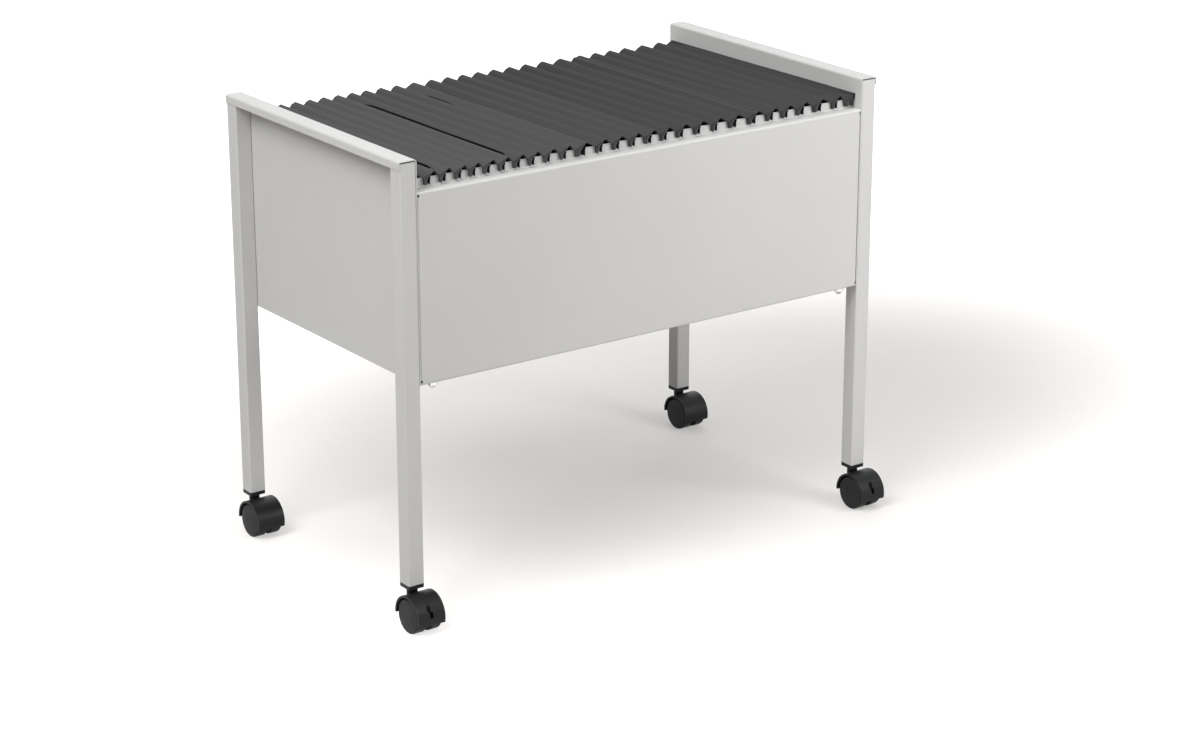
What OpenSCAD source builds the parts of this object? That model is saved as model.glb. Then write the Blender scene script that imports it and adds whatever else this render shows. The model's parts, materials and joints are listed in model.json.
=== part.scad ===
// Mobile file cart: a steel frame on four twin-wheel casters, with two rails that carry hanging files.
// The origin is on the floor, under the middle of the cart's footprint. X is the width, the front is -Y.

/* [Cart] */
// Overall width, over the end panels' outer lips
cart_w = 660; // [600:5:760]
// Depth over the legs
cart_d = 370; // [360:1:400]
// Height from the floor to the top of the end panels
cart_h = 535; // [500:5:640]
// How far the front and back panels' upper edges lie below the cart's top
panel_drop = 36.5; // [34:0.5:45]
// Height of the front and back panels, up to the ledge
panel_h = 216.5; // [205:0.5:240]

/* [Sheet metal] */
// Thickness of every sheet
sheet_t = 1; // [0.8:0.1:1.2]
// Inner radius of every bend
bend_r = 1.5; // [1:0.1:2]
// Height of the lip that closes an end panel's top over the legs
cap_lip_h = 9.5; // [6:0.5:14]
// Depth of a panel's ledge, from the panel's face to the rail's face
ledge_d = 15; // [12:0.5:16]
// Height of the rail above the ledge
rail_h = 10.8; // [9:0.1:12]
// Depth of a panel's bottom flange
flange_d = 15; // [13:0.5:22]
// Depth of a panel's side returns
return_d = 15; // [13:0.5:22]
// Height of the notch above a side return
top_notch_h = 3; // [2:0.5:6]
// Height of the notch below a side return
bottom_notch_h = 6; // [5:0.5:10]
// Gap between a front or back panel and each end panel
panel_gap = 0.3; // [0.2:0.1:0.8]
// Height of the tray's rims
tray_rim_h = 15; // [10:1:30]

/* [Legs] */
// Side of a leg's square tube
leg_side = 20; // [18:1:25]
// Wall of the tube
leg_wall = 1.5; // [1:0.1:2]
// Corner radius of the tube
leg_corner_r = 1.8; // [1.6:0.1:3]
// Height of a plug's visible rim
plug_rim_h = 4.5; // [3:0.5:6]
// Length of a plug inside the tube
plug_depth = 22; // [15:1:40]

/* [Casters] */
// Wheel diameter
wheel_d = 40; // [38:0.5:41]
// Width over the hood and both wheels
caster_w = 35; // [33:0.5:38]
// Distance from the swivel axis to the axle
caster_trail = 16; // [15:0.5:17]
// Outer radius of the hood
hood_r = 24.3; // [24:0.1:24.8]
// Wall of the hood
hood_wall = 2.5; // [2:0.1:2.8]
// Thickness of the web between the wheels
web_t = 7; // [6.8:0.1:8]
// Diameter of the neck on top of the hood
neck_d = 12.5; // [12:0.1:14]
// Space between the hood and a leg's plug, which the neck and stem cross
neck_space = 3.2; // [2.7:0.1:8]
// Axle diameter
axle_d = 4; // [3:0.5:5]
// Stem diameter at the neck
stem_d = 7; // [6.5:0.1:8]
// Stem diameter inside the web
journal_d = 4.4; // [3.5:0.1:4.6]
// Length of the stem inside the web
journal_l = 12; // [8:0.5:16]
// Width of the brake lever's thumb tab
tab_w = 15.5; // [12:0.5:18]

/* [Files] */
// Width of the flat top of a file's cover
crest_w = 5.2; // [4:0.1:7]
// Thickness of the cover, measured straight down
cover_t = 1.5; // [1:0.1:2]
// Gap between a cover's lower edges and the level of the rails
cover_gap = 0.3; // [0.2:0.1:1]
// Height of a cover's flat top above the rail
crest_rise = 6.9; // [5:0.1:8]
// How far a cover's slopes stop short of the rails' inner faces
cover_inset = 4.5; // [2:0.5:12]
// Thickness of a hook, along the row of files
hook_t = 2.6; // [2:0.1:3]
// Depth of a hook, in front of the rail
hook_d = 3.4; // [2.6:0.1:4]
// Gap between a rail and a hook
hook_gap = 0.8; // [0.5:0.1:2]
// Distance over the two hooks of the file that stands widest open
open_spread = 12; // [10:0.5:12.5]
// How far a file's pocket stops short of its hooks' ends
pocket_inset = 15; // [12:1:24]
// Place of the first file, from the left end panel
first_file_x = 21.8; // [15:0.1:30]
// Place of the last file, from the right end panel
last_file_x = 6.8; // [6.8:0.1:12]

/* [Hidden] */
FILE_COUNT = 27;
FILE_NAMES = [for (i = [1 : FILE_COUNT]) str("file_", i < 10 ? "0" : "", i)];
CORNERS = ["front_left", "front_right", "rear_left", "rear_right"];
SIDE_OF_CORNER = [[-1, -1], [1, -1], [-1, 1], [1, 1]];
BRAKED = [true, true, false, false];

$fn = 64;
// One overrun for every cut
over = 1;

// Frame
leg_bottom_h = wheel_d / 2 + hood_r + neck_space + plug_rim_h;
inner_x = cart_w / 2 - sheet_t - leg_side - sheet_t;
leg_x = inner_x + sheet_t + leg_side / 2;
leg_y = cart_d / 2 - leg_side / 2;
bend_out = bend_r + sheet_t;
leg_top_h = cart_h - bend_out;
panel_x = inner_x - panel_gap;
panel_top_h = cart_h - panel_drop;
panel_bottom_h = panel_top_h - panel_h;
rail_y = cart_d / 2 - ledge_d;
rail_top_h = panel_top_h + rail_h;

// Tray: it lies on the bottom flanges
tray_gap = 1.5;
tray_x = panel_x - sheet_t;
tray_y = cart_d / 2 - sheet_t - bend_r - tray_gap;

// Screws under the tray's corners
screw_inset = 20;
screw_place_share = 0.6;
screw_y = cart_d / 2 - flange_d * screw_place_share;
screw_d = 4;
screw_l = 14;
screw_hole_gap = 0.2;
screw_head_d = 12;
screw_head_h = 4;
screw_tip_d = 4;

// Rivets that hold a side return, an end panel and a leg together
rivet_d = 3.2;
rivet_hole_gap = 0.05;
rivet_head_d = 6.4;
rivet_head_h = 1;
rivet_tail_d = 5;
rivet_tail_h = 2;
rivet_inset_h = 25;
rivet_y = leg_y;

// Plugs and stems
plug_gap = 0.1;
stem_seat_gap = 0.02;
stem_run_gap = 0.05;
stem_up = 18;
stem_end_gap = 0.4;

// Caster, in its own frame: the axle is the origin, X runs along it, and Y points away from the trail
wheel_r = wheel_d / 2;
wheel_gap = 0.5;
wheel_in_x = web_t / 2 + wheel_gap;
wheel_flush = 0.2;
wheel_out_x = caster_w / 2 - wheel_flush;
wheel_edge_r = 2;
disc_r = wheel_r - wheel_edge_r;
dome_h = 0.7;
dome_r = (disc_r * disc_r / dome_h + dome_h) / 2;
axle_run_gap = 0.05;
axle_cover_t = 2.5;
axle_end_gap = 0.3;
axle_l = 2 * (wheel_out_x - axle_cover_t - axle_end_gap);
hood_in_r = hood_r - hood_wall;
front_drop = 15;
rear_drop = 3;
hub_r = 6;
neck_gap = 0.5;
neck_top = hood_r + neck_space - neck_gap;
stem_floor_t = 1.3;
stem_near_y = caster_trail - stem_d / 2;
stem_step = sqrt(hood_in_r * hood_in_r - stem_near_y * stem_near_y) + stem_floor_t;
stem_low = stem_step - journal_l;

// Brake lever: it turns on the axle, with its tab outside the hood
lever_t = 3.2;
lever_gap = 0.35;
lever_hub_r = 5;
lever_arm_h = 4.4;
lever_angle = 32;
lever_travel = 20;
tab_gap = 0.8;
tab_r = hood_r + tab_gap;
tab_t = 2.4;
tab_span = 18;
tab_side = 2;
rib_count = 4;
rib_r = 0.5;
slot_half_w = lever_t / 2 + lever_gap;

// The footprint's middle lies in front of the legs' middle, because the casters trail to the front
front_reach = leg_y + caster_trail + (tab_r + tab_t) * cos(lever_angle - tab_span / 2);
rear_reach = cart_d / 2;
footprint_shift = (front_reach - rear_reach) / 2;

// Files: the gaps between neighbours, and how wide each file's two hooks stand, as shares
file_gap_shares = [
    0.87, 0.87, 0.81, 0.83, 0.87, 0.86, 0.86, 0.92, 0.95, 1.03, 1.13, 1.01, 0.99,
    0.97, 0.98, 1.01, 1.09, 1.10, 1.15, 1.24, 1.16, 0.98, 1.03, 1.14, 1.16, 1.00
];
file_spread_shares = [
    0.55, 0.55, 0.57, 0.55, 0.58, 0.55, 0.60, 0.55, 0.53, 0.55, 1.00, 0.58, 0.65, 0.56,
    0.70, 0.60, 0.66, 0.60, 0.54, 0.82, 0.82, 0.70, 0.66, 0.80, 0.88, 0.56, 1.00
];
crest_h = rail_top_h + crest_rise;
// How far a cover's slopes reach towards the next file, as a share of the pitch
slope_reach_share = 0.36;
// How much of each file's left slope there is: two of them end early and leave a gap to the file on their left
left_slope_shares = [
    1, 0.65, 1, 1, 1, 1, 0.65, 1, 1, 1, 1, 1, 1, 1,
    1, 1, 1, 1, 1, 1, 1, 1, 1, 1, 1, 1, 1
];
foot_gap = 2.8;
strap_drop = 8;
file_l = 2 * (rail_y + hook_gap + hook_d);
cover_l = 2 * (rail_y - sheet_t - cover_inset);
pocket_w = file_l - 2 * pocket_inset;
pocket_top_drop = 4;
fold_gap = 9;
fold_w = 3;
file_end_gap = 0.6;

function sum_to(list, n) = n == 0 ? 0 : sum_to(list, n - 1) + list[n - 1];
file_from = first_file_x - inner_x;
file_to = inner_x - last_file_x;
function file_x(i) = file_from
    + (file_to - file_from) * sum_to(file_gap_shares, i) / sum_to(file_gap_shares, FILE_COUNT - 1);
function file_spread(i) = open_spread * file_spread_shares[i];
function pitch(i) = file_x(i + 1) - file_x(i);
function slope_w(i) = pitch(i) * slope_reach_share - crest_w / 2;
function left_slope_w(i) = slope_w(max(0, i - 1));
function right_slope_w(i) = min(
    slope_w(min(i, FILE_COUNT - 2)),
    inner_x - file_end_gap - file_x(i) - crest_w / 2
);

// Colours
PAINT = [0.76, 0.76, 0.75];
BLACK = [0.13, 0.13, 0.14];
CARD = [0.33, 0.33, 0.34];
STEEL = [0.62, 0.63, 0.65];

// Stand a flat outline up and draw it along X or along Y
module along_x(from, to) {
    translate([from, 0, 0])
        rotate([90, 0, 90])
            linear_extrude(height = to - from)
                children();
}

module along_y(from, to) {
    translate([0, to, 0])
        rotate([90, 0, 0])
            linear_extrude(height = to - from)
                children();
}

module rounded_square(side, r) {
    square([side, side - 2 * r], center = true);
    square([side - 2 * r, side], center = true);
    for (x = [-1, 1], y = [-1, 1])
        translate([x, y] * (side / 2 - r))
            circle(r = r);
}

// A quarter of a sheet's bend, round its own centre, turned to the quadrant that it fills
module bend(turn) {
    rotate(turn)
        intersection() {
            difference() {
                circle(r = bend_out);
                circle(r = bend_r);
            }
            square(bend_out);
        }
}

module at_corner(i) {
    translate([SIDE_OF_CORNER[i][0] * leg_x, SIDE_OF_CORNER[i][1] * leg_y, 0])
        children();
}

module shifted() {
    translate([0, footprint_shift, 0])
        children();
}

// Legs
module leg(i) {
    color(PAINT) shifted() difference() {
        at_corner(i)
            translate([0, 0, leg_bottom_h])
                linear_extrude(height = leg_top_h - leg_bottom_h)
                    difference() {
                        rounded_square(leg_side, leg_corner_r);
                        square(leg_side - 2 * leg_wall, center = true);
                    }
        rivet_holes();
    }
}

module leg_plugs() {
    plug_side = leg_side - 2 * (leg_wall + plug_gap);
    color(BLACK) shifted()
        for (i = [0 : len(CORNERS) - 1])
            at_corner(i)
                difference() {
                    union() {
                        translate([0, 0, leg_bottom_h - plug_rim_h])
                            linear_extrude(height = plug_rim_h)
                                rounded_square(leg_side, leg_corner_r);
                        translate([0, 0, leg_bottom_h])
                            linear_extrude(height = plug_depth)
                                square(plug_side, center = true);
                    }
                    translate([0, 0, leg_bottom_h - plug_rim_h - over])
                        cylinder(d = stem_d + 2 * stem_seat_gap, h = plug_rim_h + plug_depth + 2 * over);
                }
}

// End panels: a sheet inside the legs, folded outwards over them and down again as a lip
module end_outline() {
    cap_x = cart_w / 2;
    translate([inner_x, panel_bottom_h])
        square([sheet_t, cart_h - bend_out - panel_bottom_h]);
    translate([inner_x + bend_out, cart_h - bend_out])
        bend(90);
    translate([inner_x + bend_out, cart_h - sheet_t])
        square([cap_x - inner_x - 2 * bend_out, sheet_t]);
    translate([cap_x - bend_out, cart_h - bend_out])
        bend(0);
    translate([cap_x - sheet_t, cart_h - cap_lip_h])
        square([sheet_t, cap_lip_h - bend_out]);
}

module end_panel_right() {
    color(PAINT) shifted() difference() {
        along_y(-cart_d / 2, cart_d / 2)
            end_outline();
        rivet_holes();
    }
}

module end_panel_left() {
    mirror([1, 0, 0])
        end_panel_right();
}

// Front and back panels: a face with side returns, a bottom flange, a ledge and the rail that stands on it
module panel_top_outline() {
    translate([-cart_d / 2 + bend_out, panel_top_h - bend_out])
        bend(90);
    translate([-cart_d / 2 + bend_out, panel_top_h - sheet_t])
        square([ledge_d - bend_out - bend_r, sheet_t]);
    translate([-rail_y - bend_r, panel_top_h + bend_r])
        bend(-90);
    translate([-rail_y, panel_top_h + bend_r])
        square([sheet_t, rail_h - bend_r]);
}

module panel_bottom_outline() {
    translate([-cart_d / 2 + bend_out, panel_bottom_h + bend_out])
        bend(180);
    translate([-cart_d / 2 + bend_out, panel_bottom_h])
        square([flange_d - bend_out, sheet_t]);
}

module side_return(from_h, to_h) {
    translate([0, 0, from_h])
        linear_extrude(height = to_h - from_h) {
            translate([panel_x - bend_out, -cart_d / 2 + bend_out])
                bend(-90);
            translate([panel_x - sheet_t, -cart_d / 2 + bend_out])
                square([sheet_t, return_d - bend_out]);
        }
}

module front_panel() {
    face_x = panel_x - bend_out;
    face_from = panel_bottom_h + bend_out;
    face_to = panel_top_h - bend_out;
    return_from = panel_bottom_h + bottom_notch_h;
    return_to = face_to - top_notch_h;
    color(PAINT) shifted() difference() {
        union() {
            along_x(-panel_x, panel_x) {
                panel_top_outline();
                panel_bottom_outline();
            }
            translate([-face_x, -cart_d / 2, face_from])
                cube([2 * face_x, sheet_t, face_to - face_from]);
            side_return(return_from, return_to);
            mirror([1, 0, 0])
                side_return(return_from, return_to);
        }
        rivet_holes();
        screw_holes();
    }
}

// The back panel is the front one, turned round
module back_panel() {
    translate([0, 2 * footprint_shift, 0])
        rotate([0, 0, 180])
            front_panel();
}

module base_tray() {
    tray_h = panel_bottom_h + sheet_t;
    rim_x = panel_x - 2 * sheet_t - bend_out;
    rim_y = cart_d / 2 - return_d - bend_out;
    color(PAINT) shifted() difference() {
        translate([-tray_x, -tray_y, tray_h]) {
            cube([2 * tray_x, 2 * tray_y, sheet_t]);
            for (y = [0, 2 * tray_y - sheet_t])
                translate([tray_x - rim_x, y, 0])
                    cube([2 * rim_x, sheet_t, tray_rim_h]);
            for (x = [0, 2 * tray_x - sheet_t])
                translate([x, tray_y - rim_y, 0])
                    cube([sheet_t, 2 * rim_y, tray_rim_h]);
        }
        screw_holes();
    }
}

// Fasteners
module at_screws() {
    for (x = [-1, 1], y = [-1, 1])
        translate([x * (inner_x - screw_inset), y * screw_y, panel_bottom_h])
            children();
}

module screw_holes() {
    at_screws()
        translate([0, 0, -over])
            cylinder(d = screw_d + 2 * screw_hole_gap, h = 2 * (sheet_t + over));
}

module corner_screws() {
    color(STEEL) shifted() at_screws() {
        cylinder(d = screw_d, h = screw_l - screw_head_h);
        translate([0, 0, -screw_head_h])
            cylinder(d = screw_head_d, h = screw_head_h);
        translate([0, 0, -2 * screw_head_h])
            cylinder(d1 = screw_tip_d, d2 = screw_head_d, h = screw_head_h);
    }
}

// A rivet's own frame: its head is at the origin, on the return's inner face, and its tail is inside the leg
module at_rivets() {
    for (x = [0, 1], y = [-1, 1], h = [panel_bottom_h + rivet_inset_h, panel_top_h - rivet_inset_h])
        mirror([x, 0, 0])
            translate([panel_x - sheet_t, y * rivet_y, h])
                rotate([0, 90, 0])
                    children();
}

rivet_grip = sheet_t + panel_gap + sheet_t + leg_wall;

module rivet_holes() {
    at_rivets()
        translate([0, 0, -over])
            cylinder(d = rivet_d + 2 * rivet_hole_gap, h = rivet_grip + 2 * over);
}

module panel_rivets() {
    color(STEEL) shifted() at_rivets() {
        translate([0, 0, -rivet_head_h])
            cylinder(d = rivet_head_d, h = rivet_head_h);
        cylinder(d = rivet_d, h = rivet_grip);
        translate([0, 0, rivet_grip])
            cylinder(d = rivet_tail_d, h = rivet_tail_h);
    }
}

// Casters: each hangs on its stem, and its axle lies in front of it by the trail
module caster_at(i) {
    shifted()
        at_corner(i)
            translate([0, -caster_trail, wheel_r])
                children();
}

module caster_stems() {
    stem_from = wheel_r + stem_step + stem_end_gap;
    color(STEEL) shifted()
        for (i = [0 : len(CORNERS) - 1])
            at_corner(i) {
                translate([0, 0, stem_from])
                    cylinder(d = stem_d, h = leg_bottom_h + stem_up - stem_from);
                translate([0, 0, wheel_r + stem_low + stem_end_gap])
                    cylinder(d = journal_d, h = stem_from - wheel_r - stem_low);
            }
}

// The part of a hood's round outline that stays, between its front and rear ends
module hood_sector(r) {
    reach = 2 * r;
    polygon([
        [0, 0], [reach * cos(rear_drop), -reach * sin(rear_drop)],
        [reach, reach], [-reach, reach],
        [-reach * cos(front_drop), -reach * sin(front_drop)]
    ]);
}

module hood_shell_outline() {
    intersection() {
        difference() {
            circle(r = hood_r);
            circle(r = hood_in_r);
        }
        hood_sector(hood_r);
    }
}

module web_outline() {
    intersection() {
        circle(r = hood_in_r + hood_wall / 2);
        hood_sector(hood_r);
    }
    circle(r = hub_r);
}

// A slice of a ring, from one angle to another above the front
module front_slice(r_in, r_out, from, to) {
    reach = 2 * r_out;
    intersection() {
        difference() {
            circle(r = r_out);
            circle(r = r_in);
        }
        polygon([
            [0, 0],
            [-reach * cos(from), reach * sin(from)],
            [-reach * cos(to), reach * sin(to)]
        ]);
    }
}

module lever_arm(angle, length, height) {
    rotate(-angle)
        translate([-length, -height / 2])
            square([length, height]);
}

// The slot in the hood and web that the lever's arm swings in
module lever_room() {
    low = lever_angle - lever_travel;
    room_r = hood_r + over;
    room_h = lever_arm_h + 2 * lever_gap;
    along_x(-slot_half_w, slot_half_w) {
        front_slice(0, room_r, low, lever_angle);
        for (angle = [low, lever_angle])
            lever_arm(angle, room_r, room_h);
        circle(r = lever_hub_r + lever_gap);
    }
}

module hood(i) {
    color(BLACK) caster_at(i) difference() {
        union() {
            along_x(-caster_w / 2, caster_w / 2)
                hood_shell_outline();
            along_x(-web_t / 2, web_t / 2)
                web_outline();
            difference() {
                translate([0, caster_trail, 0])
                    cylinder(d = neck_d, h = neck_top);
                along_x(-caster_w, caster_w)
                    circle(r = hood_in_r);
            }
        }
        along_x(-caster_w, caster_w)
            circle(d = axle_d + 2 * stem_seat_gap);
        translate([0, caster_trail, stem_step])
            cylinder(d = stem_d + 2 * stem_run_gap, h = neck_top);
        translate([0, caster_trail, stem_low])
            cylinder(d = journal_d + 2 * stem_run_gap, h = neck_top);
        if (BRAKED[i])
            lever_room();
    }
}

module axle(i) {
    color(STEEL) caster_at(i)
        along_x(-axle_l / 2, axle_l / 2)
            circle(d = axle_d);
}

// A wheel's half section, its inner face at the bottom and its slightly domed face on top
module wheel_section() {
    width = wheel_out_x - wheel_in_x;
    bore_r = axle_d / 2 + axle_run_gap;
    edge_h = width - dome_h - wheel_edge_r;
    difference() {
        union() {
            square([wheel_r, edge_h]);
            square([disc_r, width - dome_h]);
            translate([disc_r, edge_h])
                circle(r = wheel_edge_r);
            intersection() {
                square([disc_r, width]);
                translate([0, width - dome_r])
                    circle(r = dome_r, $fn = 6 * $fn);
            }
        }
        translate([0, -over])
            square([bore_r, width - axle_cover_t + over]);
    }
}

module wheel(i, side) {
    color(BLACK) caster_at(i)
        translate([side * wheel_in_x, 0, 0])
            rotate([0, side * 90, 0])
                rotate_extrude()
                    wheel_section();
}

module brake_lever(i) {
    tab_from = lever_angle - tab_span / 2;
    tab_to = lever_angle + tab_span / 2;
    color(BLACK) caster_at(i) {
        difference() {
            union() {
                along_x(-lever_t / 2, lever_t / 2) {
                    circle(r = lever_hub_r);
                    lever_arm(lever_angle, tab_r + tab_t / 2, lever_arm_h);
                }
                along_x(-tab_side, tab_w - tab_side) {
                    front_slice(tab_r, tab_r + tab_t, tab_from, tab_to);
                    for (k = [1 : rib_count])
                        rotate(-(tab_from + k * tab_span / (rib_count + 1)))
                            translate([-tab_r - tab_t, 0])
                                circle(r = rib_r);
                }
            }
            along_x(-lever_t, lever_t)
                circle(d = axle_d + 2 * axle_run_gap);
        }
    }
}

// Files: a folded cover over two bars, seen from the end
module cover_outline(left_w, right_w, left_share) {
    slope_h = crest_rise - cover_gap;
    polygon([
        [-crest_w / 2 - left_w * left_share, crest_h - slope_h * left_share],
        [-crest_w / 2, crest_h],
        [crest_w / 2, crest_h],
        [crest_w / 2 + right_w, crest_h - slope_h],
        [0, crest_h - slope_h]
    ]);
}

// The slopes stop inside the rails; the flat top and the bars run on to the hooks
module cover_and_bars(i) {
    bar_x = (file_spread(i) - hook_t) / 2;
    module outline() {
        cover_outline(left_slope_w(i), right_slope_w(i), left_slope_shares[i]);
    }
    along_y(-cover_l / 2, cover_l / 2)
        difference() {
            outline();
            translate([0, -cover_t])
                outline();
        }
    along_y(-file_l / 2, file_l / 2) {
        translate([-crest_w / 2, crest_h - cover_t])
            square([crest_w, cover_t]);
        intersection() {
            union() {
                outline();
                translate([-open_spread, rail_top_h])
                    square([2 * open_spread, cover_gap]);
            }
            for (x = [-bar_x, bar_x])
                translate([x - hook_t / 2, rail_top_h])
                    square([hook_t, crest_rise]);
        }
    }
}

// The strap under each bar fills the space between the rails
module straps(spread) {
    strap_y = rail_y - sheet_t - hook_gap;
    for (x = [-spread / 2, spread / 2 - hook_t])
        translate([x, -strap_y, rail_top_h - strap_drop])
            cube([hook_t, 2 * strap_y, strap_drop + cover_gap]);
}

module hooks(spread) {
    foot_h = panel_top_h + foot_gap + hook_t / 2;
    for (x = [-1, 1], y = [-file_l / 2, file_l / 2 - hook_d])
        translate([x * (spread - hook_t) / 2, 0, 0])
            along_y(y, y + hook_d) {
                translate([-hook_t / 2, foot_h])
                    square([hook_t, rail_top_h + cover_gap - foot_h]);
                translate([0, foot_h])
                    circle(d = hook_t);
            }
}

module pocket(spread) {
    pocket_top = rail_top_h - pocket_top_drop;
    fold_h = panel_bottom_h + fold_gap;
    along_y(-pocket_w / 2, pocket_w / 2)
        polygon([
            [-fold_w / 2, fold_h], [fold_w / 2, fold_h],
            [spread / 2, pocket_top], [-spread / 2, pocket_top]
        ]);
}

module suspension_file(i) {
    spread = file_spread(i);
    color(CARD) shifted()
        translate([file_x(i), 0, 0]) {
            cover_and_bars(i);
            straps(spread);
            hooks(spread);
            pocket(spread);
        }
}

for (i = [0 : len(CORNERS) - 1])
    leg(i);
end_panel_left();
end_panel_right();
front_panel();
back_panel();
base_tray();
corner_screws();
panel_rivets();
leg_plugs();
caster_stems();
for (i = [0 : len(CORNERS) - 1]) {
    hood(i);
    axle(i);
    wheel(i, -1);
    wheel(i, 1);
}
for (i = [0 : 1])
    brake_lever(i);
for (i = [0 : FILE_COUNT - 1])
    suspension_file(i);
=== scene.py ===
import json
import math
import random

import bmesh
import bpy
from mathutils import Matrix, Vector


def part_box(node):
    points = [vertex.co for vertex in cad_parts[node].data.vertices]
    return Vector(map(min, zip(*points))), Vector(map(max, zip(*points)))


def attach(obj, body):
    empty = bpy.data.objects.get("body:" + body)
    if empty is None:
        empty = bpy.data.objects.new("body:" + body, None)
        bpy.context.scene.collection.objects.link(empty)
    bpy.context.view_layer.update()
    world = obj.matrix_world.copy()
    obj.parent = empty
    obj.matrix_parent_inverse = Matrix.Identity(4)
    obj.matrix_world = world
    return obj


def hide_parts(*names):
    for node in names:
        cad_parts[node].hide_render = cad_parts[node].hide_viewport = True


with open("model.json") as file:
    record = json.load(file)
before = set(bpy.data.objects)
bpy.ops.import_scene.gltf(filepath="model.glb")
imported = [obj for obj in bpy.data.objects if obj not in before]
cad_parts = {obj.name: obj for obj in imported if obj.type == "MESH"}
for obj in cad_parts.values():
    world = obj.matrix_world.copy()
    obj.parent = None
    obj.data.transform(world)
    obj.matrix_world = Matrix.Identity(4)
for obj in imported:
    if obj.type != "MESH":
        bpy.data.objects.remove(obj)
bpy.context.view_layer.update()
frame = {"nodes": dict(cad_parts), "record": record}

NODES = frame["nodes"]
BODY_OF = {node: body for body, nodes in frame["record"]["behaviour"]["bodies"].items() for node in nodes}
CAD_MIDDLE_Y = (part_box("leg_front_left")[0].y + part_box("leg_rear_left")[1].y) / 2

# Tones, in linear light
PAINT_TONE = (0.575, 0.572, 0.565)
BLACK_TONE = (0.0060, 0.0066, 0.0071)
WHEEL_TONE = (0.0072, 0.0079, 0.0084)
STEEL_TONE = (0.60, 0.60, 0.61)
CARD_TONE = (0.069, 0.070, 0.071)
FLOOR_TONE = (0.55, 0.538, 0.523)
GLOW_TONE = (1.0, 0.992, 0.980)

# The files' card as shares of CARD_TONE: one share for each batch, and where the later batches start
BATCH_STARTS = (6, 11, 15)
BATCH_SHARES = (1.0, 0.87, 0.72, 0.61)
# Painted light as shares of CARD_TONE: near-black shade on folds and straps, a highlit cut edge, and shade on right
# legs
DEEP_SHADE_SHARE = 0.03
EDGE_HIGHLIGHT_SHARE = 2.2
SHADE_SHARE = 0.08

# Lamps, all white and square: place, target, side in metres, and watts
LAMPS = {
    "key": ((-2.6, -0.9, 3.2), (0.0, 0.0, 0.3), 2.0, 119.0),
    "front": ((-1.2, -2.6, 3.0), (0.0, 0.0, 0.3), 2.4, 20.0),
    "top": ((0.0, 0.3, 3.2), (0.0, 0.0, 0.0), 2.6, 33.0),
    "back": ((1.6, 2.4, 1.8), (0.0, 0.0, 0.3), 2.0, 14.0),
    "side": ((0.7, -1.1, 0.8), (0.1, 0.0, 0.38), 0.6, 9.2),
}

# The world's strength as a light, and where it is seen
WORLD_LIGHT = 0.1
WORLD_SEEN = 1.0

# Floor: half its width, and the middle and reach of an oval that holds the shadow, in metres. The floor's own glow is
# painted light: weak in the oval, which leaves a painted shade round the cast shadow, and white outside it. It rises
# between two distances that are shares of the oval's reach.
FLOOR_REACH = 30.0
SHADE_CENTRE = (0.33, 0.17)
SHADE_REACH = (0.62, 0.45)
FLOOR_GLOW = 0.325
FLOOR_WHITE = 1.0
WHITE_FROM = 0.70
WHITE_TO = 1.85

# Camera, at the photograph's angle: lens and sensor in millimetres, places in metres
LENS = 90.0
SENSOR = 36.0
AZIMUTH = math.radians(-35.929)
ELEVATION = math.radians(19.179)
CAMERA_PLACE = (-1.9454, -2.7581, 1.3554)
CLIP_FROM = 0.05
CLIP_TO = 100.0

# Material of the nodes that aren't painted sheet or tube, by the start of the node's name
SLOT_STARTS = (
    ("leg_plugs", "black_plastic"), ("caster_hood", "black_plastic"), ("brake", "black_plastic"),
    ("caster_wheel", "wheel_plastic"), ("caster_axle", "bright_steel"), ("caster_stems", "bright_steel"),
    ("corner_screws", "bright_steel"), ("panel_rivets", "bright_steel"), ("file", "file_card"),
)

# ---------------------------------------------------------------- sizes of a file, in metres
# Heights follow the rails' tops or the file's crest. Lengths run from the cart's middle and follow RAIL_Y, the
# distance to a rail's outer face.
RAIL_SHEET = 0.001
RAIL_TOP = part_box("front_panel")[1].z
RAIL_Y = CAD_MIDDLE_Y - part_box("front_panel")[1].y + RAIL_SHEET
FOLD_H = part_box("file_01")[0].z
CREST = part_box("file_01")[1].z
CARD_T = 0.0005
ROUND_SHARE = 0.45

# Cover: a tent with a narrow crest that leans to the left. Its outline is drawn COVER_RUN wide on each side,
# and each side is then stretched to the valley beside it.
COVER_LOW = RAIL_TOP + 0.0006
COVER_RUN = 0.009
FILE_HALF = RAIL_Y + 0.0040
COVER_STATIONS = 32
CREST_W = 0.0048
CREST_ROUND = 0.0016
CREST_ROUND_STEPS = 5
CREST_LEAN = 0.0020
SHOULDER = CREST - CREST_LEAN
CREST_SKEW = 0.0050
FILE_GAP = 0.0006
LAST_SHIFT = 0.0006

# One file's crest stands open, with a dip in its middle
OPEN_FILE = 20
OPEN_CREST_W = 0.0088
OPEN_DIP = 0.0018

# Small unevenness of each cover: how far its crest runs askew, and waves as (size, radians per metre)
FIRST_SEED = 100
MAX_LEAN = 0.0006
MAX_PHASE = 6.28
SIDE_WAVES = ((0.00015, 22), (0.00008, 57))
LIFT_WAVE = (0.0001, 31)

# Dark gaps, by the file's number from 0: where the cut in its cover starts at the back, where it stops in front, and
# how wide it is at the file's middle. It widens to the front by CUT_SLOPE.
CUT_FILES = {1: (0.150, -0.168, 0.0047), 6: (0.150, -0.168, 0.0047), 10: (0.150, 0.06, 0.0040)}
NO_CUT = (1.0, 1.0, 0.0)
CUT_SLOPE = 0.0100
CUT_FADE = 0.03
CUT_END_SHARE = 0.3

# Pocket, folded at its bottom, and the straps that hold it under the cover, in near-black painted shade
POCKET_HALF = RAIL_Y - 0.0110
POCKET_TOP = RAIL_TOP - 0.0021
POCKET_STATIONS = 8
FOLD_W = 0.003
FOLD_ROUND = 0.0012
STRAP_W = 0.0028
STRAP_HALF = RAIL_Y - 0.0038
STRAP_LOW = RAIL_TOP - 0.0048
STRAP_TOP = COVER_LOW + 0.0007

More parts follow.
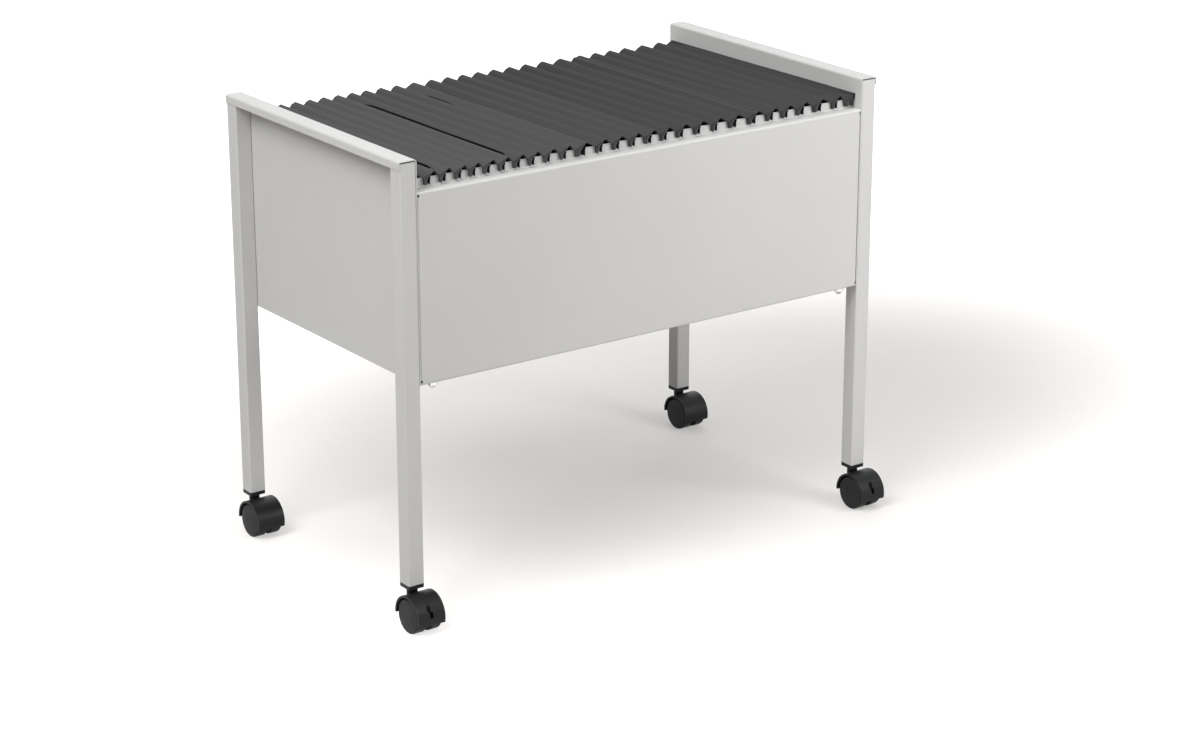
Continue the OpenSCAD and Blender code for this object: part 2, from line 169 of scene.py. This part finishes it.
# Legs at both ends, outside the rails, with a rounded tip as (rise, share of the leg's width). A left leg turns up to
# the crest, and above OVER_RAIL it also reaches in to BAR_FROM. So does a right leg, on the last file alone.
LEG_GAP = 0.0007
LEG_D = 0.0026
LEG_NEAR = RAIL_Y + LEG_GAP
FOOT_LOW = RAIL_TOP - 0.0080
FOOT_TIP = ((0.0, 0.45), (0.0005, 0.8), (0.0013, 1.0))
FOOT_LEAN = 0.0016
FOOT_SWELL = 0.0005
STRAIGHT_TO = RAIL_TOP - 0.0043
FLARE = 0.0011
FLARE_FROM = RAIL_TOP - 0.0025
RIGHT_FLARE_TO = RAIL_TOP + 0.0007
LEFT_LEG_SHARE = 0.46
LEFT_STEPS = 12
RIGHT_LEG_W = 0.0010
RIGHT_LEG_D = LEG_D - 0.0002
RIGHT_STEPS = 5
RIGHT_TOP = RAIL_TOP + 0.0003
LAST_LEG_SHARE = 0.85
LAST_OVER_SHARE = 0.8
CREST_TURN_FROM = RAIL_TOP + 0.0012
LEG_TOP_GAP = 0.0009
OPEN_TOP_GAP = 0.0030
LEG_MIN_W = 0.0004
INNER_TURN = (RAIL_TOP - 0.0038, CREST + 0.0010)
INNER_CREST_GAP = 0.0012
FLANK_INSET = 0.0008
OVER_RAIL = RAIL_TOP + 0.0002
BAR_FROM = RAIL_Y - 0.0200
BAR_GAP = 0.0001

# Fold between the legs in near-black painted shade, and the pale cut edge beside it, partly a painted highlight
FOLD_D = LEG_D - 0.0012
FOLD_FROM = FOOT_LOW + 0.0012
FOLD_TO = CREST - 0.0011
FOLD_STEPS = 14
FOLD_INSET = 0.0002
FOLD_CREST_GAP = 0.0004
FOLD_MIN_W = 0.0003
RIM_NEAR = LEG_NEAR + LEG_D - 0.0002
RIM_D = 0.0004
RIM_FROM = RAIL_TOP - 0.0063
RIM_TO = CREST - 0.0012
RIM_STEPS = 12
RIM_LEFT = 0.0005
RIM_RIGHT = 0.0001

# Where a file's solid is read for its front hooks: below this height, and further than this in front of the middle
HOOK_BELOW = RAIL_TOP - 0.0033
HOOK_BEYOND = RAIL_Y + 0.0002

# Edges with a sharper turn than this stay sharp
SHARP_ANGLE = math.radians(38)


# ---------------------------------------------------------------- node helpers
class Shader:
    """Builds one node material, with short calls for the nodes it uses."""

    SOCKETS = {"roughness": "Roughness", "metallic": "Metallic", "specular": "Specular IOR Level"}

    def __init__(self, name):
        self.material = bpy.data.materials.new(name)
        self.material.use_nodes = True
        self.tree = self.material.node_tree
        self.nodes = self.tree.nodes
        self.bsdf = self.nodes["Principled BSDF"]
        self.place = self.nodes.new("ShaderNodeTexCoord").outputs["Object"]

    def link(self, a, b):
        self.tree.links.new(a, b)

    def stretched(self, scale):
        mapping = self.nodes.new("ShaderNodeMapping")
        mapping.inputs["Scale"].default_value = scale
        self.link(self.place, mapping.inputs["Vector"])
        return mapping.outputs["Vector"]

    def noise(self, scale, detail=2.0, rough=0.5, vector=None):
        node = self.nodes.new("ShaderNodeTexNoise")
        node.inputs["Scale"].default_value = scale
        node.inputs["Detail"].default_value = detail
        node.inputs["Roughness"].default_value = rough
        self.link(vector or self.place, node.inputs["Vector"])
        return node.outputs["Fac"]

    def spread(self, value, low, high, from_low=0.3, from_high=0.7):
        """A noise's middle range, spread from low to high."""
        node = self.nodes.new("ShaderNodeMapRange")
        for key, number in (("From Min", from_low), ("From Max", from_high), ("To Min", low), ("To Max", high)):
            node.inputs[key].default_value = number
        self.link(value, node.inputs["Value"])
        return node.outputs["Result"]

    def toned(self, tone, share):
        """The tone, lighter or darker by the share that the socket gives."""
        node = self.nodes.new("ShaderNodeVectorMath")
        node.operation = "SCALE"
        node.inputs[0].default_value = tone
        self.link(share, node.inputs["Scale"])
        self.link(node.outputs[0], self.bsdf.inputs["Base Color"])

    def bump(self, height, depth, strength=1.0):
        node = self.nodes.new("ShaderNodeBump")
        node.inputs["Strength"].default_value = strength
        node.inputs["Distance"].default_value = depth
        self.link(height, node.inputs["Height"])
        self.link(node.outputs["Normal"], self.bsdf.inputs["Normal"])

    def set(self, **values):
        for key, value in values.items():
            socket = self.bsdf.inputs[self.SOCKETS[key]]
            if isinstance(value, float):
                socket.default_value = value
            else:
                self.link(value, socket)


def math_node(tree, operation, *values):
    node = tree.nodes.new("ShaderNodeMath")
    node.operation = operation
    for socket, value in zip(node.inputs, values):
        if isinstance(value, float):
            socket.default_value = value
        else:
            tree.links.new(value, socket)
    return node.outputs[0]


def seen_rays(tree):
    """1 for the rays that show a surface or a reflection of it, 0 for those that light the object."""
    path = tree.nodes.new("ShaderNodeLightPath").outputs
    mirrored = math_node(tree, "MAXIMUM", path["Is Glossy Ray"], path["Is Transmission Ray"])
    return math_node(tree, "MAXIMUM", path["Is Camera Ray"], mirrored)


# ---------------------------------------------------------------- materials
def frame_paint():
    """Light grey powder coat: a fine orange peel and a faint change of tone over the sheet."""
    s = Shader("frame_paint")
    cloud = s.spread(s.noise(6.0, detail=3.0), 0.985, 1.015)
    grain = s.spread(s.noise(1400.0), 0.985, 1.015)
    s.toned(PAINT_TONE, math_node(s.tree, "MULTIPLY", cloud, grain))
    s.set(roughness=s.spread(s.noise(30.0, detail=3.0), 0.54, 0.62), specular=0.28)
    s.bump(s.noise(900.0), depth=0.00004, strength=0.6)
    return s.material


def black_plastic():
    s = Shader("black_plastic")
    s.toned(BLACK_TONE, s.spread(s.noise(60.0, detail=3.0), 0.85, 1.2))
    s.set(roughness=s.spread(s.noise(160.0, detail=3.0), 0.38, 0.5), specular=0.22)
    s.bump(s.noise(2600.0), depth=0.00003, strength=0.7)
    return s.material


def wheel_plastic():
    s = Shader("wheel_plastic")
    s.toned(WHEEL_TONE, s.spread(s.noise(80.0, detail=3.0), 0.85, 1.2))
    s.set(roughness=s.spread(s.noise(120.0, detail=3.0), 0.44, 0.58), specular=0.22)
    s.bump(s.noise(3000.0), depth=0.00003, strength=0.7)
    return s.material


def bright_steel():
    s = Shader("bright_steel")
    s.toned(STEEL_TONE, s.spread(s.noise(300.0, detail=3.0), 0.92, 1.06))
    s.set(metallic=1.0, roughness=s.spread(s.noise(500.0, detail=3.0), 0.24, 0.38))
    s.bump(s.noise(1500.0), depth=0.00002, strength=0.5)
    return s.material


def file_card(name="file_card", share=1.0):
    """Dark grey card, scaled by the share: lighter or darker from one batch of files to the next, or a painted shade
    or highlight copy.
    """
    s = Shader(name)
    streaks = s.noise(1.0, detail=3.0, rough=0.6, vector=s.stretched((260.0, 5.0, 90.0)))
    fibre = s.noise(1.0, detail=3.0, rough=0.6, vector=s.stretched((1500.0, 260.0, 900.0)))
    uneven = math_node(s.tree, "MULTIPLY", s.spread(streaks, 0.95, 1.05), s.spread(fibre, 0.97, 1.03))
    s.toned([c * share for c in CARD_TONE], uneven)
    s.set(roughness=s.spread(streaks, 0.74, 0.84), specular=0.12)
    s.bump(fibre, depth=0.00004, strength=0.5)
    return s.material


def floor_distance(tree):
    """How far a place on the floor is from the oval's middle, as a share of the oval's reach."""
    oval = tree.nodes.new("ShaderNodeMapping")
    oval.vector_type = "POINT"
    oval.inputs["Scale"].default_value = (1 / SHADE_REACH[0], 1 / SHADE_REACH[1], 0.0)
    oval.inputs["Location"].default_value = (*(-c / reach for c, reach in zip(SHADE_CENTRE, SHADE_REACH)), 0.0)
    tree.links.new(tree.nodes.new("ShaderNodeTexCoord").outputs["Object"], oval.inputs["Vector"])
    distance = tree.nodes.new("ShaderNodeVectorMath")
    distance.operation = "LENGTH"
    tree.links.new(oval.outputs["Vector"], distance.inputs[0])
    return distance.outputs["Value"]


def floor_material():
    """A pale floor with the object's cast shadow. Seen directly or mirrored, its glow turns it white away from the
    object and stays weak round it, as a painted shade.
    """
    material = bpy.data.materials.new("floor")
    material.use_nodes = True
    tree = material.node_tree
    bsdf = tree.nodes["Principled BSDF"]
    bsdf.inputs["Base Color"].default_value = (*FLOOR_TONE, 1.0)
    bsdf.inputs["Roughness"].default_value = 0.9
    bsdf.inputs["Specular IOR Level"].default_value = 0.1
    glow = tree.nodes.new("ShaderNodeMapRange")
    glow.interpolation_type = "SMOOTHSTEP"
    for key, value in (("From Min", WHITE_FROM), ("From Max", WHITE_TO), ("To Min", FLOOR_GLOW),
                       ("To Max", FLOOR_WHITE)):
        glow.inputs[key].default_value = value
    tree.links.new(floor_distance(tree), glow.inputs["Value"])
    emission = tree.nodes.new("ShaderNodeEmission")
    emission.inputs["Color"].default_value = (*GLOW_TONE, 1.0)
    strength = math_node(tree, "MULTIPLY", seen_rays(tree), glow.outputs["Result"])
    tree.links.new(strength, emission.inputs["Strength"])
    both = tree.nodes.new("ShaderNodeAddShader")
    tree.links.new(bsdf.outputs[0], both.inputs[0])
    tree.links.new(emission.outputs[0], both.inputs[1])
    tree.links.new(both.outputs[0], tree.nodes["Material Output"].inputs["Surface"])
    return material


def slot_of(node):
    return next((slot for start, slot in SLOT_STARTS if node.startswith(start)), "frame_paint")


def dress_nodes():
    made = {m.__name__: m() for m in (frame_paint, black_plastic, wheel_plastic, bright_steel, file_card)}
    for name, node in NODES.items():
        node.data.materials.clear()
        node.data.materials.append(made[slot_of(name)])
    return made


def card_of(cards, *others):
    """Gives each file the card of its batch, and the same painted shade for fold and straps, cut edge with a painted
    highlight, and painted shade for the right leg.
    """
    return lambda k: (cards[sum(k >= first for first in BATCH_STARTS)], *others)


# ---------------------------------------------------------------- mesh helpers
def mesh_object(name, builders, materials):
    """One object from several builders that each add faces to the same mesh: (builder, material number)."""
    whole = bmesh.new()
    for build, number in builders:
        before = len(whole.faces)
        build(whole)
        whole.faces.ensure_lookup_table()
        for face in whole.faces[before:]:
            face.material_index = number
    bmesh.ops.recalc_face_normals(whole, faces=whole.faces)
    mesh = bpy.data.meshes.new(name)
    whole.to_mesh(mesh)
    whole.free()
    for material in materials:
        mesh.materials.append(material)
    for polygon in mesh.polygons:
        polygon.use_smooth = True
    mesh.set_sharp_from_angle(angle=SHARP_ANGLE)
    thing = bpy.data.objects.new(name, mesh)
    bpy.context.scene.collection.objects.link(thing)
    return thing


def rounded(points, radius, steps=4):
    """An open line with its inner corners turned into arcs, which take ROUND_SHARE of a short side at most."""
    line = [Vector(points[0])]
    for before, corner, after in zip(points, points[1:], points[2:]):
        before, corner, after = Vector(before), Vector(corner), Vector(after)
        a, b = (before - corner).normalized(), (after - corner).normalized()
        half = a.angle(b) / 2
        shorter = min((before - corner).length, (after - corner).length)
        reach = min(radius / math.tan(half), shorter * ROUND_SHARE)
        centre = corner + (a + b).normalized() * (reach / math.cos(half))
        start, end = corner + a * reach, corner + b * reach
        for k in range(steps + 1):
            spoke = (start - centre).lerp(end - centre, k / steps)
            line.append(centre + spoke.normalized() * (start - centre).length)
    line.append(Vector(points[-1]))
    return line


def sheet_loop(line, thickness):
    """The closed outline of a thin sheet: the line, and back along its inner side."""
    inner = []
    for k, point in enumerate(line):
        a = (point - line[k - 1]).normalized() if k else None
        b = (line[k + 1] - point).normalized() if k + 1 < len(line) else None
        run = ((a or b) + (b or a)).normalized()
        inner.append(point + Vector((run.y, -run.x)) * thickness)
    return line + inner[::-1]


def sweep(whole, loop, stations, place):
    """A sheet's closed outline carried along Y: place gives each point's corner at a station."""
    rings = [[whole.verts.new(place(point, y)) for point in loop] for y in stations]
    count = len(loop)
    for a, b in zip(rings, rings[1:]):
        for k in range(count):
            whole.faces.new((a[k], a[(k + 1) % count], b[(k + 1) % count], b[k]))
    for ring in (rings[0], rings[-1]):
        for k in range(count // 2 - 1):
            whole.faces.new((ring[k], ring[k + 1], ring[count - 2 - k], ring[count - 1 - k]))


def ribbon(whole, steps, from_y, to_y):
    """A bar of varying width: steps are (left x, right x, height), drawn from one depth to another."""
    rings = []
    for left, right, height in steps:
        rings.append([whole.verts.new(p) for p in ((left, from_y, height), (right, from_y, height),
                                                   (right, to_y, height), (left, to_y, height))])
    for a, b in zip(rings, rings[1:]):
        for k in range(4):
            whole.faces.new((a[k], a[(k + 1) % 4], b[(k + 1) % 4], b[k]))
    whole.faces.new(rings[0])
    whole.faces.new(rings[-1][::-1])


def clamp(value):
    return max(0.0, min(1.0, value))


def ease(value, low, high):
    """0 below low, 1 above high, and a smooth turn between them."""
    share = clamp((value - low) / (high - low))
    return share * share * (3 - 2 * share)


def between(a, b, share):
    return a + (b - a) * share


def evenly(low, high, count):
    """Both ends, and even steps between them."""
    return [between(low, high, n / count) for n in range(count + 1)]


def foot_tip(left, right):
    """A leg's rounded lower end, as steps of a ribbon."""
    centre, half = (left + right) / 2, (right - left) / 2
    return [(centre - half * share, centre + half * share, FOOT_LOW + rise) for rise, share in FOOT_TIP]


def at_ends(steps_of, near, deep, over_rail=False):
    """Builds a ribbon at both ends, and where asked carries its part above the rail inwards."""
    def build(whole):
        for end in (-1, 1):
            steps = steps_of(end)
            face = CAD_MIDDLE_Y + end * near
            ribbon(whole, steps, face, face + end * deep)
            if over_rail:
                above = [step for step in steps if step[2] > OVER_RAIL]
                ribbon(whole, above, CAD_MIDDLE_Y + end * BAR_FROM, face - end * BAR_GAP)
    return build


# ---------------------------------------------------------------- files
class HangingFile:
    """One file: its cover, pocket and straps, and at each end two legs with a fold between them. Straps and fold are
    painted shade.
    """

    def __init__(self, number, x, spread, valley_left, valley_right, last):
        draw = random.Random(FIRST_SEED + number)
        self.lean = draw.uniform(-MAX_LEAN, MAX_LEAN)
        self.waves = [draw.uniform(0.0, MAX_PHASE) for _ in range(3)]
        self.x, self.spread, self.last = x, spread, last
        self.valley_left, self.valley_right = valley_left, valley_right
        self.open = number == OPEN_FILE
        self.crest_w = OPEN_CREST_W if self.open else CREST_W
        self.leg_top = CREST - (OPEN_TOP_GAP if self.open else LEG_TOP_GAP)
        self.cut_from, self.cut_to, self.cut_middle = CUT_FILES.get(number, NO_CUT)
        half = spread / 2 + FOOT_SWELL
        self.foot_left, self.foot_right = x - FOOT_LEAN - half, x - FOOT_LEAN + half
        self.left_leg_w = LEFT_LEG_SHARE * 2 * half
        self.right_leg_w = self.left_leg_w * LAST_LEG_SHARE if last else RIGHT_LEG_W

    def crest_x(self, y):
        return self.x + CREST_SKEW * (0.5 - y / (2 * FILE_HALF)) + self.lean * y / FILE_HALF

    def crest_left(self, end):
        return self.crest_x(end * FILE_HALF) - self.crest_w / 2

    def crest_right(self, end):
        return self.crest_x(end * FILE_HALF) + self.crest_w / 2

    def drift(self, y):
        return sum(size * math.sin(y * rate + phase) for (size, rate), phase in zip(SIDE_WAVES, self.waves))

    def lift(self, y):
        size, rate = LIFT_WAVE
        return size * math.sin(y * rate + self.waves[2])

    def cut(self, y):
        """How much of the left flank is cut off, so that the dark gap beside it shows."""
        if y > self.cut_from or y < self.cut_to:
            return 0.0
        fade = min(1.0, (self.cut_from - y) / CUT_FADE, (y - self.cut_to) / CUT_FADE + CUT_END_SHARE)
        return fade * (self.cut_middle - CUT_SLOPE * y)

    def cover_place(self, p, y):
        """Where a point of the cover's outline goes at this distance along the file."""
        half = self.crest_w / 2
        share = clamp((abs(p.x) - half) / (COVER_RUN - half))
        crest = self.crest_x(y)
        rise = 0.0
        if p.x < 0:
            reach = crest - half - self.valley_left
            kept = min(share, 1 - self.cut(y) / reach)
            rise = (share - kept) * (SHOULDER - COVER_LOW)
            share = kept
        else:
            reach = self.valley_right - crest - half
        side = math.copysign(min(abs(p.x), half) + reach * share, p.x)
        return (crest + side + self.drift(y), CAD_MIDDLE_Y + y, p.y + rise + self.lift(y))

    def cover(self, whole):
        top = [(-self.crest_w / 2, SHOULDER), (self.crest_w / 2, CREST)]
        if self.open:
            top.insert(1, (0.0, CREST - OPEN_DIP))
        line = rounded([(-COVER_RUN, COVER_LOW)] + top + [(COVER_RUN, COVER_LOW)], CREST_ROUND, CREST_ROUND_STEPS)
        sweep(whole, sheet_loop(line, CARD_T), evenly(-FILE_HALF, FILE_HALF, COVER_STATIONS), self.cover_place)

    def pocket(self, whole):
        half, fold = self.spread / 2, FOLD_W / 2
        line = rounded([(half, POCKET_TOP), (fold, FOLD_H), (-fold, FOLD_H), (-half, POCKET_TOP)], FOLD_ROUND)
        sweep(whole, sheet_loop(line, CARD_T), evenly(-POCKET_HALF, POCKET_HALF, POCKET_STATIONS),
              lambda p, y: (self.x + p.x, CAD_MIDDLE_Y + y, p.y))

    # The straps are near-black painted shade, so that the gaps in the covers over them show dark
    def straps(self, whole):
        for side in (-1, 1):
            bar = self.x + side * (self.spread - STRAP_W) / 2
            left, right = bar - STRAP_W / 2, bar + STRAP_W / 2
            ribbon(whole, [(left, right, STRAP_LOW), (left, right, STRAP_TOP)],
                   CAD_MIDDLE_Y - STRAP_HALF, CAD_MIDDLE_Y + STRAP_HALF)

    def flank_x(self, height, end):
        """Where the inner side of the left flank, and of the crest above it, is at this height."""
        flank = clamp((height - COVER_LOW) / (SHOULDER - COVER_LOW))
        over = clamp((height - SHOULDER) / CREST_LEAN)
        return between(self.valley_left, self.crest_left(end), flank) + self.crest_w * over + FLANK_INSET

    def inner_edge(self, height, end):
        """The left leg's right edge, which turns up to the crest."""
        low = self.foot_left + self.left_leg_w
        return between(low, self.crest_right(end) - INNER_CREST_GAP, ease(height, *INNER_TURN))

    def outer_edge(self, height):
        """The right leg's right edge, which widens towards the rail's top."""
        return self.foot_right + FLARE * ease(height, FLARE_FROM, RIGHT_FLARE_TO)

    def left_leg(self, end):
        steps = foot_tip(self.foot_left, self.foot_left + self.left_leg_w)
        for height in evenly(STRAIGHT_TO, self.leg_top, LEFT_STEPS):
            left = self.foot_left - FLARE * ease(height, FLARE_FROM, COVER_LOW)
            if height > COVER_LOW:
                left = max(left, self.flank_x(height, end))
            steps.append((left, max(left + LEG_MIN_W, self.inner_edge(height, end)), height))
        return steps

    def right_leg(self, end):
        steps = foot_tip(self.foot_right - self.right_leg_w, self.foot_right)
        for height in evenly(STRAIGHT_TO, RIGHT_TOP, RIGHT_STEPS):
            right = self.outer_edge(height)
            steps.append((right - self.right_leg_w, right, height))
        if self.last:
            for height in evenly(CREST_TURN_FROM, self.leg_top, RIGHT_STEPS):
                right = between(self.foot_right + FLARE, self.crest_right(end) - FOLD_CREST_GAP,
                                ease(height, RIGHT_TOP, CREST))
                steps.append((right - self.right_leg_w * LAST_OVER_SHARE, right, height))
        return steps

    # Near-black painted shade in the recess between the two legs
    def fold(self, end):
        steps = []
        for height in evenly(FOLD_FROM, FOLD_TO, FOLD_STEPS):
            left = self.inner_edge(height, end) - FOLD_INSET
            right = between(self.outer_edge(height) - FOLD_INSET, self.crest_right(end) - FOLD_CREST_GAP,
                            ease(height, CREST_TURN_FROM, CREST))
            steps.append((left, max(left + FOLD_MIN_W, right), height))
        return steps

    # The cut edge: a paler strip, partly the card's lighter core and partly a painted highlight of the lit edge
    def rim(self, end):
        steps = []
        for height in evenly(RIM_FROM, RIM_TO, RIM_STEPS):
            edge = self.inner_edge(height, end)
            steps.append((edge - RIM_LEFT, edge + RIM_RIGHT, height))
        return steps

    def builders(self):
        """Every part of the file with its material's number: card, painted shade on fold and straps, cut edge with
        painted highlight, or painted shade on a right leg.
        """
        card, dark, edge, shade = 0, 1, 2, 3
        return (
            (self.cover, card),
            (self.pocket, card),
            (self.straps, dark),
            (at_ends(self.left_leg, LEG_NEAR, LEG_D, over_rail=True), card),
            (at_ends(self.right_leg, LEG_NEAR, RIGHT_LEG_D, over_rail=self.last), card if self.last else shade),
            (at_ends(self.fold, LEG_NEAR, FOLD_D), dark),
            (at_ends(self.rim, RIM_NEAR, RIM_D), edge),
        )


def file_numbers():
    """Each file's name, middle and spread, read from the hooks of its CAD solid. The last one is moved a little, so
    that its cover clears the end panel."""
    rows = []
    for name in sorted(n for n in NODES if n.startswith("file_")):
        points = [v.co for v in NODES[name].data.vertices]
        ends = [p.x for p in points if p.z < HOOK_BELOW and p.y < CAD_MIDDLE_Y - HOOK_BEYOND]
        rows.append((name, (min(ends) + max(ends)) / 2, max(ends) - min(ends)))
    name, x, spread = rows[-1]
    return rows[:-1] + [(name, x - LAST_SHIFT, spread)]


def add_files(materials_of):
    rows = file_numbers()
    lefts = [x - FOOT_LEAN - spread / 2 - FOOT_SWELL - FLARE for _, x, spread in rows]
    for k, (name, x, spread) in enumerate(rows):
        last = k + 1 == len(rows)
        right = x - FOOT_LEAN + spread / 2 + FOOT_SWELL + FLARE if last else lefts[k + 1] - FILE_GAP
        shapes = HangingFile(k, x, spread, lefts[k], right, last)
        piece = mesh_object("suspension_" + name, shapes.builders(), materials_of(k))
        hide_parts(name)
        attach(piece, BODY_OF[name])


# ---------------------------------------------------------------- camera, lamps and floor
def placed(name, data, place):
    thing = bpy.data.objects.new(name, data)
    bpy.context.scene.collection.objects.link(thing)
    thing.location = place
    return thing


def aim(thing, direction):
    thing.rotation_mode = "QUATERNION"
    thing.rotation_quaternion = direction.to_track_quat("-Z", "Y")


def add_camera():
    data = bpy.data.cameras.new("camera")
    data.sensor_width = SENSOR
    data.lens = LENS
    data.clip_start = CLIP_FROM
    data.clip_end = CLIP_TO
    camera = placed("camera", data, CAMERA_PLACE)
    level = math.cos(ELEVATION)
    aim(camera, -Vector((math.sin(AZIMUTH) * level, -math.cos(AZIMUTH) * level, math.sin(ELEVATION))))
    bpy.context.scene.camera = camera


def add_lamps():
    for name, (place, target, side, watts) in LAMPS.items():
        data = bpy.data.lights.new(name, "AREA")
        data.shape = "SQUARE"
        data.size = side
        data.energy = watts
        aim(placed(name, data, place), Vector(target) - Vector(place))


def add_world():
    """A weak even light, seen as pure white in the background and in reflections."""
    world = bpy.data.worlds.new("world")
    bpy.context.scene.world = world
    world.use_nodes = True
    tree = world.node_tree
    background = tree.nodes["Background"]
    strength = tree.nodes.new("ShaderNodeMapRange")
    strength.inputs["To Min"].default_value = WORLD_LIGHT
    strength.inputs["To Max"].default_value = WORLD_SEEN
    tree.links.new(seen_rays(tree), strength.inputs["Value"])
    tree.links.new(strength.outputs["Result"], background.inputs["Strength"])
    background.inputs["Color"].default_value = (1.0, 1.0, 1.0, 1.0)


def add_floor():
    mesh = bpy.data.meshes.new("floor")
    corners = [(x * FLOOR_REACH, y * FLOOR_REACH, 0.0) for x, y in ((-1, -1), (1, -1), (1, 1), (-1, 1))]
    mesh.from_pydata(corners, [], [(0, 1, 2, 3)])
    floor = placed("floor", mesh, (0.0, 0.0, 0.0))
    mesh.materials.append(floor_material())


bpy.context.scene.view_settings.view_transform = "Standard"
MADE = dress_nodes()
CARDS = [MADE["file_card"]] + [file_card("file_card_" + str(n), share) for n, share in enumerate(BATCH_SHARES[1:], 2)]
# Card copies in painted light: near-black shade for folds and straps, a cut edge with a painted highlight, shade for
# right legs
add_files(card_of(CARDS, file_card("card_deep_shade", DEEP_SHADE_SHARE), file_card("card_edge_highlight", EDGE_HIGHLIGHT_SHARE),
                  file_card("card_shade", SHADE_SHARE)))
add_camera()
add_lamps()
add_world()
add_floor()
